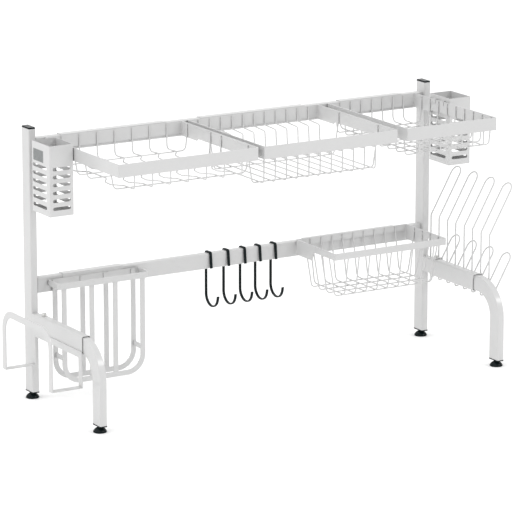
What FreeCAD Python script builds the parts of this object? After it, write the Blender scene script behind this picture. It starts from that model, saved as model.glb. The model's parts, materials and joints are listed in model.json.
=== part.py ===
"""Free-standing dish drying rack that straddles a sink, in millimetres.

Two posts carry an upper and a lower rail.  Each post has an arm on which a sleeve with a bent front
leg slides.  Wire baskets, utensil boxes, hooks, a cutting-board holder, a tray holder and a plate
rack hang on the rails and sleeves.

Frame: +Z up, +X to the right seen from the front, -Y towards the front.  The origin is on the
worktop, midway between the posts and midway between the foremost and rearmost faces.
"""
import FreeCAD
import Part
import Sketcher
import math
import os

DIMENSIONS = [
    ("overall_height", 520.0, "worktop to the top of the post caps"),
    ("post_x", 436.8, "centre plane to the centre of each post"),
    ("post_back", 138.5, "origin back to the centre plane of posts and rails"),
    ("tube_narrow", 14.0, "narrow side of the frame tube"),
    ("tube_wide", 30.0, "wide side of the frame tube"),
    ("tube_wall", 1.2, "wall of every frame tube"),
    ("tube_corner", 2.0, "outer corner radius of the frame tube"),
    ("plug_gap", 0.15, "plug or stub to the tube wall around it"),
    ("flange", 2.0, "flange of a foot plug"),
    ("flange_lip", 0.3, "flange of a foot plug beyond the tube on every side"),
    ("plug_deep", 22.0, "foot plug inside the tube"),
    ("cap_rise", 3.0, "post cap above the tube"),
    ("foot_height", 14.0, "worktop to the end of each leg tube"),
    ("foot_radius", 12.7, "sole of a levelling foot"),
    ("stem_radius", 4.0, "threaded stem of a levelling foot"),
    ("upper_rail_z", 483.0, "centre of the upper rail"),
    ("lower_rail_z", 217.0, "centre of the lower rail"),
    ("rail_gap", 4.0, "left post to the open left end of each rail"),
    ("stub_reach", 40.0, "rail stub inside the rail"),
    ("arm_z", 152.0, "centre of the arm tubes"),
    ("arm_front", 122.0, "front end of the arm stubs, forward of the posts"),
    ("leg_tail", 136.0, "rear end of the leg tubes, forward of the posts"),
    ("leg_front", 265.0, "centre line of the legs, forward of the posts"),
    ("leg_bend", 57.0, "centre-line bend radius of the legs"),
    ("sleeve_wall", 0.9, "wall of the arm sleeves"),
    ("sleeve_gap", 1.1, "sleeve to the tube inside it"),
    ("knob_forward", 52.0, "locking screw, forward of the posts"),
    ("knob_radius", 4.3, "head of the locking screw"),
    ("strip", 2.0, "thickness of the flat strip of the baskets"),
    ("strip_tall", 24.0, "height of the strip round the upper baskets"),
    ("upper_top", 498.0, "top edge of the strip of the upper baskets"),
    ("basket_back", 8.1, "rear face of every basket, forward of the posts"),
    ("basket_front", 292.0, "front face of the upper baskets, forward of the posts"),
    ("wire_radius", 1.3, "basket wire"),
    ("weld_gap", 0.05, "between pieces that are welded together"),
    ("saddle_sheet", 0.8, "sheet of the saddles over the rails"),
    ("saddle_inset", 32.0, "end of a basket to the end of its saddle"),
    ("saddle_drop", 20.0, "rear leg of a saddle"),
    ("rest_gap", 0.2, "hanging piece to what carries it"),
    ("lower_top", 236.0, "top edge of the strip of the lower basket"),
    ("lower_front", 151.5, "front face of the lower basket, forward of the posts"),
    ("box_wide", 49.0, "utensil box along X"),
    ("box_deep", 69.0, "utensil box along Y"),
    ("box_tall", 132.0, "utensil box along Z"),
    ("box_top", 506.0, "top edge of the utensil boxes"),
    ("box_gap", 1.5, "utensil box to the basket it hangs on"),
    ("box_sheet", 1.0, "sheet of the utensil boxes"),
    ("slot_pitch", 14.8, "slots of the utensil boxes, centre to centre"),
    ("slot_tall", 6.4, "height of a slot"),
    ("hook_wide", 5.6, "flattened wire of the S-hooks along X"),
    ("hook_thick", 3.0, "flattened wire of the S-hooks, in the plane of its bends"),
    ("hook_bend", 22.0, "lower bend of the S-hooks"),
    ("board_x", -309.0, "centre of the cutting-board holder"),
    ("board_front", 51.0, "front face of the holder, forward of the posts"),
    ("board_ring", 96.5, "half width of the holder's top ring"),
    ("board_leg", 83.4, "holder centre to the centre of its outer legs"),
    ("board_mid", 25.0, "holder centre to the centre of its middle bars"),
    ("board_bar", 9.5, "width of the holder's flat bars"),
    ("board_thick", 2.5, "thickness of the holder's flat bars"),
    ("board_bottom", 30.0, "lowest edge of the holder"),
    ("board_top", 226.0, "top edge of the holder's ring"),
    ("tray_reach", 508.0, "centre plane to the tray holder's outer frame"),
    ("tray_back", 22.0, "rear edge of the tray holder, forward of the posts"),
    ("tray_front", 218.0, "front edge of the tray holder, forward of the posts"),
    ("tray_bar", 12.5, "width of the tray holder's flat bars"),
    ("tray_bottom", 72.0, "lowest face of the tray holder"),
    ("rack_radius", 1.5, "wire of the plate rack"),
    ("rack_first", 31.2, "first plate loop, forward of the posts"),
    ("rack_pitch", 58.3, "plate loop to plate loop"),
    ("rack_half", 14.3, "half width of a plate loop"),
    ("rack_apex", 502.0, "centre plane to the tips of the plate loops"),
]

# Holes are wider than what goes through them, and features of one body run into each other
HOLE_CLEAR = 0.15
TIGHT_CLEAR = 0.1
SEAT_GAP = 0.05
FUSE_LAP = 0.5
CUT_LAP = 1.0

# Plugs and stubs inside the tubes
PLUG_CORNER = 0.8
FOOT_BORE_CLEAR = 0.08
CAP_PLUG = 12.0
CAP_SHOULDER = 1.0
CAP_STEP = 0.8

# Levelling feet: rim, dome and neck of the sole, and the stem inside its plug
FOOT_CHAMFER = 0.8
FOOT_RIM = 2.4
FOOT_DOME_IN = 2.6
FOOT_DOME_TOP = 6.2
FOOT_NECK = 5.0
FOOT_COLLAR = 1.6
FOOT_COLLAR_LOW = 8.8
FOOT_COLLAR_TOP = 9.3
FOOT_ROUNDING = [0, 0, 0, 4.0, 8.0, 5.0, 0, 0, 0, 0, 0]
FOOT_TO_PLUG = 0.4
STEM_SHORT = 3.0

# Pan-head screws of the rails
SCREW_RADIUS = 2.0
SCREW_HEAD = 4.5
SCREW_HEAD_TALL = 2.1
SCREW_INSET = 31.0
SCREW_DEEP = 6.0

# Screws of the tray holder, forward of the posts
TRAY_SCREWS = (62.0, 178.0)
TRAY_SCREW_RADIUS = 1.5
TRAY_SCREW_HEAD = 3.2
TRAY_SCREW_HEAD_TALL = 2.0
TRAY_SCREW_TIP = 0.6

# Sleeves, forward of the posts, with their guide bushes, and locking knobs
LEFT_SLEEVE = (32.0, 216.0)
RIGHT_SLEEVE = (42.0, 194.0)
SLEEVE_CORNER = 3.6
BUSH_LONG = 5.0
BUSH_CLEAR = 0.1
BUSH_INSET = 1.0
BUSH_TO_BEND = 3.0
KNOB_SHANK = 2.5
KNOB_TALL = 6.0
KNOB_CHAMFER = 1.0

# Baskets: strip corners, and how far forward of the posts the tall rear ends of the side strips reach
BASKET_CORNER = 3.0
UPPER_EAR = 28.0
LOWER_EAR = 30.0
EAR_REACH = 72.0
EAR_TAPER = 4.0
LOWER_STRIP = 13.0
WIRE_TIP = 2.0

# Left and right ends of the baskets, and half the length of the saddle of each
LEFT_ENDS = (-408.0, -116.0)
MIDDLE_ENDS = (-104.0, 187.0)
RIGHT_ENDS = (208.0, 411.0)
LOWER_ENDS = (138.0, 394.0)
LEFT_SADDLE = 112.0
MIDDLE_SADDLE = 115.0
RIGHT_SADDLE = 71.0
LOWER_SADDLE = 105.0
BOARD_SADDLE = 64.0
BOARD_SADDLE_LOW = 214.5

# Wires along X: height at which they start to lean inwards, below the strip's top
UPPER_SHOULDER = 22.0
LOWER_SHOULDER = 14.0

# Floors of the baskets: depth of the cross wires below the strip's top
MIDDLE_DEPTH = 79.0
MIDDLE_STEP = 29.5
RIGHT_DEPTH = 51.0
LOWER_DEPTH = 87.5

# Folds that hold bowls on edge.  Each bend: forward of the posts, below the strip's top, bend radius.
FOLD = 2.2
LEFT_FOLDS = [
    (52.0, 48.2, FOLD), (39.5, 57.0, FOLD), (62.0, 58.0, 6.0), (118.0, 49.0, 20.0),
    (187.0, 48.0, FOLD), (175.5, 56.5, FOLD), (198.0, 57.5, 6.0), (251.0, 49.5, 20.0),
]
# Its wires along X: forward of the posts, and depth of the cross wires there
LEFT_LONG_WIRES = [(34.0, 49.3), (121.0, 49.1), (160.0, 48.5), (257.0, 49.6)]

# Utensil boxes
LEFT_BOX_BACK = 54.5
RIGHT_BOX_BACK = 60.0
BOX_CORNER = 1.2
SLOT_ROWS = 6
FIRST_SLOT = 14.4
SLOT_ACROSS = 36.7
SLOT_ALONG = 54.0
SLOT_SHIFT = 4.8
BOX_TAB = 10.0
BOX_TAB_DROP = 8.0
BOX_TAB_OFFSET = 14.0

# S-hooks: places along the rail, and the shape of the wire
HOOK_PLACES = [-54.0, -15.0, 22.0, 56.0, 91.0]
HOOK_LOW = 129.0
HOOK_CROWN = 3.4
HOOK_ROUNDING = 1.3
HOOK_TIP = 14.0
HOOK_FLARE = 3.2
HOOK_SWEEP = 1.84
HOOK_TOE_OUT = 5.0
HOOK_TOE_RISE = 23.0

# Cutting-board holder
BOARD_STRIP_TALL = 11.5
BOARD_FRONT_CORNER = 8.0
BOARD_REAR_CORNER = 3.0
BOARD_BEND = 38.0
BOARD_TIE_LOW = 75.0
BOARD_TIE_HIGH = 84.5
BOARD_TOP_INSET = 1.0

# Tray holder: tops and upper bends of its outer and inner frame, and the tabs under the sleeve
TRAY_OUTER_TOP = 188.5
TRAY_OUTER_BEND = 38.0
TRAY_INNER_TOP = 140.5
TRAY_INNER_BEND = 4.0
TRAY_TAB = 14.0

# Plate rack: heights and radii of the bends of a loop, and the hooks
LOOP_TIP = 344.0
LOOP_LOW = 123.0
LOOP_LOW_TIP = 204.5
LOOP_LEAN = 60.0
LOOP_ELBOW_BEND = 8.0
LOOP_FOOT_BEND = 3.5
LOOPS = 4
RACK_REAR_HOOK = 58.0
RACK_FRONT_HOOK = 197.0
RACK_CLEAR = 0.4
RACK_HOOK_BEND = 3.0
RACK_HOOK_LAP = 6.0
CARRIER_DROP = 2.0
CARRIER_END = 4.0

doc = FreeCAD.newDocument("drying_rack")
sheet = doc.addObject("Spreadsheet::Sheet", "sizes")
for row, (alias, number, note) in enumerate(DIMENSIONS, start=1):
    sheet.set(f"A{row}", alias)
    sheet.set(f"B{row}", str(number))
    sheet.set(f"C{row}", note)
    sheet.setAlias(f"B{row}", alias)
doc.recompute()


class Size:
    """A length: its value together with the spreadsheet expression that gives it."""

    def __init__(self, value, text=None):
        self.value = float(value)
        self.text = text or f"({self.value})"
        self.from_sheet = text is not None

    def join(self, other, sign, value):
        other = size(other)
        text = f"({self.text} {sign} {other.text})"
        joined = Size(value, text)
        joined.from_sheet = self.from_sheet or other.from_sheet
        return joined

    def __add__(self, other):
        return self.join(other, "+", self.value + size(other).value)

    def __sub__(self, other):
        return self.join(other, "-", self.value - size(other).value)

    def __mul__(self, other):
        return self.join(other, "*", self.value * size(other).value)

    def __truediv__(self, other):
        return self.join(other, "/", self.value / size(other).value)

    def __radd__(self, other):
        return size(other) + self

    def __rsub__(self, other):
        return size(other) - self

    def __rmul__(self, other):
        return size(other) * self

    def __neg__(self):
        return size(0) - self


def size(value):
    return value if isinstance(value, Size) else Size(value)


def dim(alias):
    return Size(sheet.get(alias), f"sizes.{alias}")


def bind(item, prop, value):
    item.setExpression(prop, size(value).text)


def forward(distance):
    """Y of a plane this far in front of the posts' centre plane."""
    return dim("post_back") - distance


# ---------------------------------------------------------------- bodies and sketches

def new_body(label):
    body = doc.addObject("PartDesign::Body", label)
    body.Label = label
    body.AllowCompound = True
    return body


def origin_feature(body, role):
    return next(item for item in body.Origin.OriginFeatures if item.Role == role)


def new_sketch(body, plane, at):
    """Sketch on the plane XY, XZ or YZ of the body, moved along its third axis to the given place."""
    sketch = body.newObject("Sketcher::SketchObject", f"{body.Label}_sketch")
    sketch.AttachmentSupport = (origin_feature(body, f"{plane}_Plane"), [""])
    sketch.MapMode = "FlatFace"
    bind(sketch, "AttachmentOffset.Base.z", -size(at) if plane == "XZ" else at)
    return sketch


def add_constraints(sketch, wanted):
    """Add constraints; those that end in a Size follow the spreadsheet."""
    first = sketch.ConstraintCount
    plain = []
    for item in wanted:
        last = item[-1]
        plain.append(Sketcher.Constraint(*item[:-1], last.value if isinstance(last, Size) else last))
    sketch.addConstraint(plain)
    for number, item in enumerate(wanted, start=first):
        if isinstance(item[-1], Size) and item[-1].from_sheet:
            bind(sketch, f"Constraints[{number}]", item[-1])


def fillet_geometry(before, corner, after, radius):
    """Two tangent points and the arc that rounds a corner, and whether the arc runs backwards."""
    back = (before - corner).normalize()
    ahead = (after - corner).normalize()
    half_angle = back.getAngle(ahead) / 2
    trim = radius / math.tan(half_angle)
    centre = corner + (back + ahead).normalize() * (radius / math.sin(half_angle))
    enter = corner + back * trim
    leave = corner + ahead * trim
    clockwise = back.cross(ahead).z > 0
    first, last = (leave, enter) if clockwise else (enter, leave)
    first_angle = math.atan2(first.y - centre.y, first.x - centre.x)
    last_angle = math.atan2(last.y - centre.y, last.x - centre.x)
    if last_angle < first_angle:
        last_angle += 2 * math.pi
    circle = Part.Circle(centre, FreeCAD.Vector(0, 0, 1), radius)
    return enter, leave, Part.ArcOfCircle(circle, first_angle, last_angle), clockwise


def draw(sketch, corners, radii=0.0, closed=True):
    """Draw straight runs through the corners, round them, and tie every corner to the sheet."""
    count = len(corners)
    radii = list(radii) if isinstance(radii, (list, tuple)) else [radii] * count
    if not closed:
        radii[0] = radii[-1] = 0.0
    radii = [size(radius) for radius in radii]
    corners = [(size(a), size(b)) for a, b in corners]
    points = [FreeCAD.Vector(a.value, b.value, 0) for a, b in corners]
    enter, leave, arcs = list(points), list(points), {}
    for i, radius in enumerate(radii):
        if radius.value > 0:
            shape = fillet_geometry(points[i - 1], points[i], points[(i + 1) % count], radius.value)
            enter[i], leave[i] = shape[0], shape[1]
            arcs[i] = shape[2:]
    runs = count if closed else count - 1
    lines = [Part.LineSegment(leave[i], enter[(i + 1) % count]) for i in range(runs)]
    base = sketch.GeometryCount
    sketch.addGeometry(lines, False)
    arc_at = {i: base + runs + n for n, i in enumerate(arcs)}
    sketch.addGeometry([arc for arc, _ in arcs.values()], False)
    point_at = base + runs + len(arcs)
    sketch.addGeometry([Part.Point(point) for point in points], True)
    wanted = []
    for i, (a, b) in enumerate(corners):
        wanted.append(("DistanceX", -1, 1, point_at + i, 1, a))
        wanted.append(("DistanceY", -1, 1, point_at + i, 1, b))
        arriving = base + (i - 1) % count if closed or i > 0 else None
        leaving = base + i if closed or i < runs else None
        if i in arcs:
            start, end = (2, 1) if arcs[i][1] else (1, 2)
            wanted.append(("PointOnObject", point_at + i, 1, arriving))
            wanted.append(("PointOnObject", point_at + i, 1, leaving))
            wanted.append(("Tangent", arriving, 2, arc_at[i], start))
            wanted.append(("Tangent", arc_at[i], end, leaving, 1))
            wanted.append(("Radius", arc_at[i], radii[i]))
            continue
        if arriving is not None:
            wanted.append(("Coincident", arriving, 2, point_at + i, 1))
        if leaving is not None:
            wanted.append(("Coincident", leaving, 1, point_at + i, 1))
    add_constraints(sketch, wanted)


def draw_circle(sketch, centre, radius):
    centre = (size(centre[0]), size(centre[1]))
    radius = size(radius)
    at = sketch.GeometryCount
    middle = FreeCAD.Vector(centre[0].value, centre[1].value, 0)
    sketch.addGeometry(Part.Circle(middle, FreeCAD.Vector(0, 0, 1), radius.value), False)
    add_constraints(sketch, [
        ("DistanceX", -1, 1, at, 3, centre[0]),
        ("DistanceY", -1, 1, at, 3, centre[1]),
        ("Radius", at, radius),
    ])


def rectangle(left, right, low, high):
    return [(left, low), (right, low), (right, high), (left, high)]


def centred(a, b, width, height):
    return rectangle(a - width / 2, a + width / 2, b - height / 2, b + height / 2)


# ---------------------------------------------------------------- features

def extrude(body, kind, sketch, thickness):
    """Pad or Pocket that reaches half the thickness to each side of the sketch."""
    feature = body.newObject(f"PartDesign::{kind}", f"{body.Label}_{kind.lower()}")
    feature.Profile = sketch
    feature.SideType = "Symmetric"
    bind(feature, "Length", thickness)
    body.Tip = feature
    return feature


def pad(body, plane, at, corners, thickness, radii=0.0):
    sketch = new_sketch(body, plane, at)
    draw(sketch, corners, radii)
    return extrude(body, "Pad", sketch, thickness)


def pocket(body, plane, at, corners, thickness, radii=0.0):
    sketch = new_sketch(body, plane, at)
    draw(sketch, corners, radii)
    return extrude(body, "Pocket", sketch, thickness)


def bore(body, plane, at, centre, radius, depth):
    sketch = new_sketch(body, plane, at)
    draw_circle(sketch, centre, radius)
    return extrude(body, "Pocket", sketch, depth)


def rod(body, plane, at, centre, radius, length):
    sketch = new_sketch(body, plane, at)
    draw_circle(sketch, centre, radius)
    return extrude(body, "Pad", sketch, length)


def frame_ring(body, plane, at, outer, wall, thickness, radius):
    """Closed frame: a rounded outline and the same outline a wall's width further in."""
    left, low = outer[0]
    right, high = outer[2]
    sketch = new_sketch(body, plane, at)
    draw(sketch, outer, radius)
    draw(sketch, rectangle(left + wall, right - wall, low + wall, high - wall), radius - wall)
    return extrude(body, "Pad", sketch, thickness)


def tube(body, plane, middle, centre, width, height, length):
    """Straight length of the frame tube."""
    outer = centred(size(centre[0]), size(centre[1]), width, height)
    wall = dim("tube_wall")
    return frame_ring(body, plane, middle, outer, wall, length, dim("tube_corner"))


def repeat(body, feature, axis, pitch, count, towards_front=False):
    pattern = body.newObject("PartDesign::LinearPattern", f"{body.Label}_row")
    pattern.Originals = [feature]
    pattern.Direction = (origin_feature(body, f"{axis}_Axis"), [""])
    pattern.Reversed = towards_front
    pattern.Mode = "Spacing"
    bind(pattern, "Offset", pitch)
    pattern.Occurrences = count
    body.Tip = pattern
    return pattern


def sweep(body, profile, spine):
    feature = body.newObject("PartDesign::AdditivePipe", f"{body.Label}_pipe")
    feature.Profile = profile
    feature.Spine = (spine, [])
    feature.Transition = "Right corner"
    body.Tip = feature
    return feature


def bent_wire(body, plane, at, corners, radii, radius):
    """Round wire through the corners.  Its first run rises vertically."""
    spine, profile = wire_sketches(body, plane, at, corners, radii)
    draw_circle(profile, (0, 0), radius)
    return sweep(body, profile, spine)


def wire_sketches(body, plane, at, corners, radii):
    """The path of a wire, and an empty sketch across its lower end for the section."""
    spine = new_sketch(body, plane, at)
    draw(spine, corners, radii, closed=False)
    profile = new_sketch(body, "XY", corners[0][1])
    across, along = (at, corners[0][0]) if plane == "YZ" else (corners[0][0], at)
    bind(profile, "AttachmentOffset.Base.x", across)
    bind(profile, "AttachmentOffset.Base.y", along)
    return spine, profile


def turn(body, outline, radii=0.0):
    """Solid of revolution about the body's own Z axis; the outline is radius, height."""
    sketch = new_sketch(body, "XZ", 0)
    draw(sketch, outline, radii)
    feature = body.newObject("PartDesign::Revolution", f"{body.Label}_turned")
    feature.Profile = sketch
    feature.ReferenceAxis = (sketch, ["V_Axis"])
    feature.Angle = 360.0
    body.Tip = feature
    return feature


def place(body, x, y, z):
    bind(body, "Placement.Base.x", x)
    bind(body, "Placement.Base.y", y)
    bind(body, "Placement.Base.z", z)


# ---------------------------------------------------------------- main frame

def post(label, side):
    body = new_body(label)
    top = dim("overall_height") - dim("cap_rise")
    low = dim("foot_height")
    centre = (side * dim("post_x"), forward(0))
    tube(body, "XY", (top + low) / 2, centre, dim("tube_narrow"), dim("tube_wide"), top - low)


def inside_width():
    return dim("tube_narrow") - 2 * (dim("tube_wall") + dim("plug_gap"))


def inside_height():
    return dim("tube_wide") - 2 * (dim("tube_wall") + dim("plug_gap"))


def post_caps():
    body = new_body("post_caps")
    top = dim("overall_height")
    rise = dim("cap_rise")
    low = rise - CAP_SHOULDER
    narrow, wide = dim("tube_narrow"), dim("tube_wide")
    for side in (-1, 1):
        x = side * dim("post_x")
        y = forward(0)
        pad(body, "XY", top - rise + low / 2, centred(x, y, narrow, wide), low, dim("tube_corner"))
        crown = centred(x, y, narrow - 2 * CAP_STEP, wide - 2 * CAP_STEP)
        pad(body, "XY", top - rise / 2, crown, rise, dim("tube_corner") - CAP_STEP)
        plug = centred(x, y, inside_width(), inside_height())
        plug_middle = top - rise - CAP_PLUG / 2 + FUSE_LAP
        pad(body, "XY", plug_middle, plug, size(CAP_PLUG + 2 * FUSE_LAP), PLUG_CORNER)


def rail(label, z):
    body = new_body(label)
    left = dim("rail_gap") - dim("post_x") + dim("tube_narrow") / 2
    right = dim("post_x") - dim("tube_narrow") / 2
    middle = (left + right) / 2
    tube(body, "YZ", middle, (forward(0), z), dim("tube_narrow"), dim("tube_wide"), right - left)
    for x in screw_places():
        hole = SCREW_RADIUS + HOLE_CLEAR
        bore(body, "XZ", forward(-dim("tube_narrow") / 2), (x, z), hole, 2 * dim("tube_wall") + CUT_LAP)


def screw_places():
    """X of the rail screws, one near each post."""
    return [side * (dim("post_x") - SCREW_INSET) for side in (-1, 1)]


def rail_stubs():
    body = new_body("rail_stubs")
    face = dim("post_x") - dim("tube_narrow") / 2
    for z in (dim("upper_rail_z"), dim("lower_rail_z")):
        section = centred(forward(0), z, inside_width(), inside_height())
        for side, extra in ((-1, dim("rail_gap")), (1, size(0))):
            length = dim("stub_reach") + extra
            pad(body, "YZ", side * (face - length / 2), section, length, PLUG_CORNER)
        for x in screw_places():
            hole = SCREW_RADIUS + TIGHT_CLEAR
            bore(body, "XZ", forward(-inside_width() / 2), (x, z), hole, 2 * SCREW_DEEP + CUT_LAP)


def rail_screws():
    """Pan-head screws from the rear that hold the rails on their stubs."""
    body = new_body("rail_screws")
    back = forward(-dim("tube_narrow") / 2)
    for z in (dim("upper_rail_z"), dim("lower_rail_z")):
        for x in screw_places():
            rod(body, "XZ", back + SCREW_HEAD_TALL / 2 + SEAT_GAP, (x, z), SCREW_HEAD, SCREW_HEAD_TALL)
            shank_middle = back - SCREW_DEEP / 2 + FUSE_LAP
            rod(body, "XZ", shank_middle, (x, z), SCREW_RADIUS, SCREW_DEEP + 2 * FUSE_LAP)


def arm_stub(label, side):
    body = new_body(label)
    start = forward(dim("tube_wide") / 2)
    end = forward(dim("arm_front"))
    centre = (side * dim("post_x"), dim("arm_z"))
    tube(body, "XZ", (start + end) / 2, centre, dim("tube_narrow"), dim("tube_wide"), start - end)


def foot_plug(body, x, y):
    """Plug in the end of a leg tube with a bore for the levelling foot."""
    low = dim("foot_height") - dim("flange")
    lip = dim("flange_lip")
    plate = centred(x, y, dim("tube_narrow") + 2 * lip, dim("tube_wide") + 2 * lip)
    pad(body, "XY", low + dim("flange") / 2, plate, dim("flange"), dim("tube_corner"))
    deep = dim("plug_deep")
    section = centred(x, y, inside_width(), inside_height())
    pad(body, "XY", low + (deep + dim("flange")) / 2, section, deep + dim("flange"), PLUG_CORNER)
    bore(body, "XY", low + deep / 2, (x, y), dim("stem_radius") + FOOT_BORE_CLEAR, 2 * deep)


def post_plugs():
    body = new_body("post_plugs")
    for side in (-1, 1):
        foot_plug(body, side * dim("post_x"), forward(0))


def leg_plug(label, side):
    foot_plug(new_body(label), side * dim("post_x"), forward(dim("leg_front")))


def foot(label, side, distance):
    """Levelling foot: round sole, domed neck and threaded stem."""
    body = new_body(label)
    sole = dim("foot_radius")
    stem = dim("stem_radius")
    top = dim("foot_height") + dim("plug_deep") - STEM_SHORT
    shoulder = dim("foot_height") - dim("flange") - FOOT_TO_PLUG
    outline = [(0, 0), (sole - FOOT_CHAMFER, 0), (sole, FOOT_CHAMFER), (sole, FOOT_RIM),
               (sole - FOOT_DOME_IN, FOOT_DOME_TOP), (FOOT_NECK + FOOT_COLLAR, FOOT_COLLAR_LOW),
               (FOOT_NECK, FOOT_COLLAR_TOP), (FOOT_NECK, shoulder), (stem, shoulder), (stem, top), (0, top)]
    turn(body, outline, FOOT_ROUNDING)
    place(body, side * dim("post_x"), forward(distance), 0)


# ---------------------------------------------------------------- arms and front legs

def sleeve(label, side, back, front):
    body = new_body(label)
    narrow = dim("tube_narrow") + 2 * (dim("sleeve_gap") + dim("sleeve_wall"))
    wide = dim("tube_wide") + 2 * (dim("sleeve_gap") + dim("sleeve_wall"))
    start, end = forward(back), forward(front)
    x = side * dim("post_x")
    outer = centred(x, dim("arm_z"), narrow, wide)
    frame_ring(body, "XZ", (start + end) / 2, outer, dim("sleeve_wall"), start - end, size(SLEEVE_CORNER))
    top = dim("arm_z") + wide / 2
    hole = KNOB_SHANK + TIGHT_CLEAR
    bore(body, "XY", top, (x, forward(dim("knob_forward"))), hole, 2 * dim("sleeve_wall") + CUT_LAP)
    return body


def sleeve_bushes(label, side, back, front):
    """Plastic guides between a sleeve and the tubes inside it, one near each end."""
    body = new_body(label)
    reach = dim("sleeve_gap") - BUSH_CLEAR
    wall = reach - BUSH_CLEAR
    section = centred(side * dim("post_x"), dim("arm_z"),
                      dim("tube_narrow") + 2 * reach, dim("tube_wide") + 2 * reach)
    straight_end = dim("leg_front") - dim("leg_bend")
    corner = SLEEVE_CORNER - dim("sleeve_wall") - BUSH_CLEAR
    last = min(front - BUSH_INSET, straight_end.value - BUSH_TO_BEND)
    for start in (back + BUSH_INSET, last - BUSH_LONG):
        middle = forward(start + BUSH_LONG / 2)
        frame_ring(body, "XZ", middle, section, wall, size(BUSH_LONG), corner)


def left_sleeve():
    body = sleeve("left_sleeve", -1, *LEFT_SLEEVE)
    for y in tray_screw_places():
        hole = TRAY_SCREW_RADIUS + HOLE_CLEAR
        bore(body, "XY", sleeve_low(), (-dim("post_x"), y), hole, 2 * dim("sleeve_wall") + CUT_LAP)


def sleeve_low():
    return dim("arm_z") - dim("tube_wide") / 2 - dim("sleeve_gap") - dim("sleeve_wall")


def sleeve_top():
    return dim("arm_z") + dim("tube_wide") / 2 + dim("sleeve_gap") + dim("sleeve_wall")


def lock_knob(label, side):
    """Knurled screw through the sleeve that presses on the arm stub."""
    body = new_body(label)
    low = dim("tube_wide") / 2 + TIGHT_CLEAR
    seat = sleeve_top() - dim("arm_z") + TIGHT_CLEAR
    crown = seat + KNOB_TALL
    head = dim("knob_radius")
    outline = [(0, low), (KNOB_SHANK, low), (KNOB_SHANK, seat), (head, seat),
               (head, crown - KNOB_CHAMFER), (head - KNOB_CHAMFER, crown), (0, crown)]
    turn(body, outline)
    place(body, side * dim("post_x"), forward(dim("knob_forward")), dim("arm_z"))


def leg(label, side):
    """Tube that runs forward out of the sleeve and bends down to its foot."""
    body = new_body(label)
    x = side * dim("post_x")
    spine = new_sketch(body, "YZ", x)
    front = forward(dim("leg_front"))
    corners = [(forward(dim("leg_tail")), dim("arm_z")), (front, dim("arm_z")), (front, dim("foot_height"))]
    draw(spine, corners, dim("leg_bend"), closed=False)
    section = new_sketch(body, "XZ", forward(dim("leg_tail")))
    wall = dim("tube_wall")
    narrow, wide = dim("tube_narrow"), dim("tube_wide")
    draw(section, centred(x, dim("arm_z"), narrow, wide), dim("tube_corner"))
    inner = centred(x, dim("arm_z"), narrow - 2 * wall, wide - 2 * wall)
    draw(section, inner, dim("tube_corner") - wall)
    sweep(body, section, spine)


# ---------------------------------------------------------------- baskets

def basket_frame(label, left, right, front, top, tall, side_tall):
    """Flat strip bent round the mouth of a basket, taller along its sides next to the rail."""
    body = new_body(label)
    strip = dim("strip")
    back = forward(dim("basket_back"))
    outer = rectangle(size(left), size(right), forward(front), back)
    frame_ring(body, "XY", top - tall / 2, outer, strip, tall, size(BASKET_CORNER))
    rear = back - BASKET_CORNER
    reach = forward(EAR_REACH)
    low = top - side_tall
    ear = [(rear, low), (rear, top - tall / 2), (reach, top - tall / 2), (reach, top - tall),
           (reach + EAR_TAPER, low)]
    for x in (left + strip / 2, right - strip / 2):
        pad(body, "YZ", x, ear, strip)


def saddle(label, middle, half, rail_z, front_low):
    """Sheet folded over the rail that carries a basket."""
    body = new_body(label)
    sheet_thick = dim("saddle_sheet")
    inner = dim("tube_narrow") / 2 + dim("rest_gap")
    outer = inner + sheet_thick
    under = rail_z + dim("tube_wide") / 2 + dim("rest_gap")
    over = under + sheet_thick
    y = forward(0)
    rear_low = over - dim("saddle_drop")
    outline = [(y - outer, front_low), (y - inner, front_low), (y - inner, under), (y + inner, under),
               (y + inner, rear_low), (y + outer, rear_low), (y + outer, over), (y - outer, over)]
    pad(body, "YZ", middle, outline, 2 * half)


def wire_inset():
    """Centre of a wire behind the outer face of the strip it is welded to."""
    return dim("strip") + dim("wire_radius") + dim("weld_gap")


def cross_wires(label, first, pitch, count, front, top, bends):
    """Wires from the rear strip down, forward and up to the front strip, side by side along X."""
    body = new_body(label)
    rear_y = forward(dim("basket_back") + wire_inset())
    front_y = forward(front - wire_inset())
    tip = top - WIRE_TIP
    corners, radii = [(rear_y, tip)], [0.0]
    for distance, below, radius in bends:
        y = {"rear": rear_y, "front": front_y}.get(distance)
        corners.append((y if y is not None else forward(distance), top - below))
        radii.append(radius)
    corners.append((front_y, tip))
    radii.append(0.0)
    wire = bent_wire(body, "YZ", first, corners, radii, dim("wire_radius"))
    repeat(body, wire, "X", pitch, count)


def long_wire(body, left, right, at, top, shoulder, depth, in_left, in_right, radius):
    """One wire along X under the cross wires, its ends welded inside the side strips."""
    outer_left = left + wire_inset()
    outer_right = right - wire_inset()
    low = top - depth
    tip = top - WIRE_TIP
    corners = [(outer_left, tip), (outer_left, top - shoulder), (left + in_left, low),
               (right - in_right, low), (outer_right, top - shoulder), (outer_right, tip)]
    return bent_wire(body, "XZ", at, corners, [0, radius, radius, radius, radius, 0], dim("wire_radius"))


def upper_basket(name, ends, saddle_half):
    left, right = size(ends[0]), size(ends[1])
    top = dim("upper_top")
    basket_frame(f"{name}_basket_frame", left, right, dim("basket_front"), top, dim("strip_tall"),
                 size(UPPER_EAR))
    front_low = top - dim("strip_tall")
    saddle(f"{name}_basket_saddle", (left + right) / 2, size(saddle_half), dim("upper_rail_z"), front_low)
    return left, right, top


def under(depth):
    """Depth of a long wire's centre below the strip's top when it lies under a cross wire."""
    return depth + 2 * dim("wire_radius") + dim("weld_gap")


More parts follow.
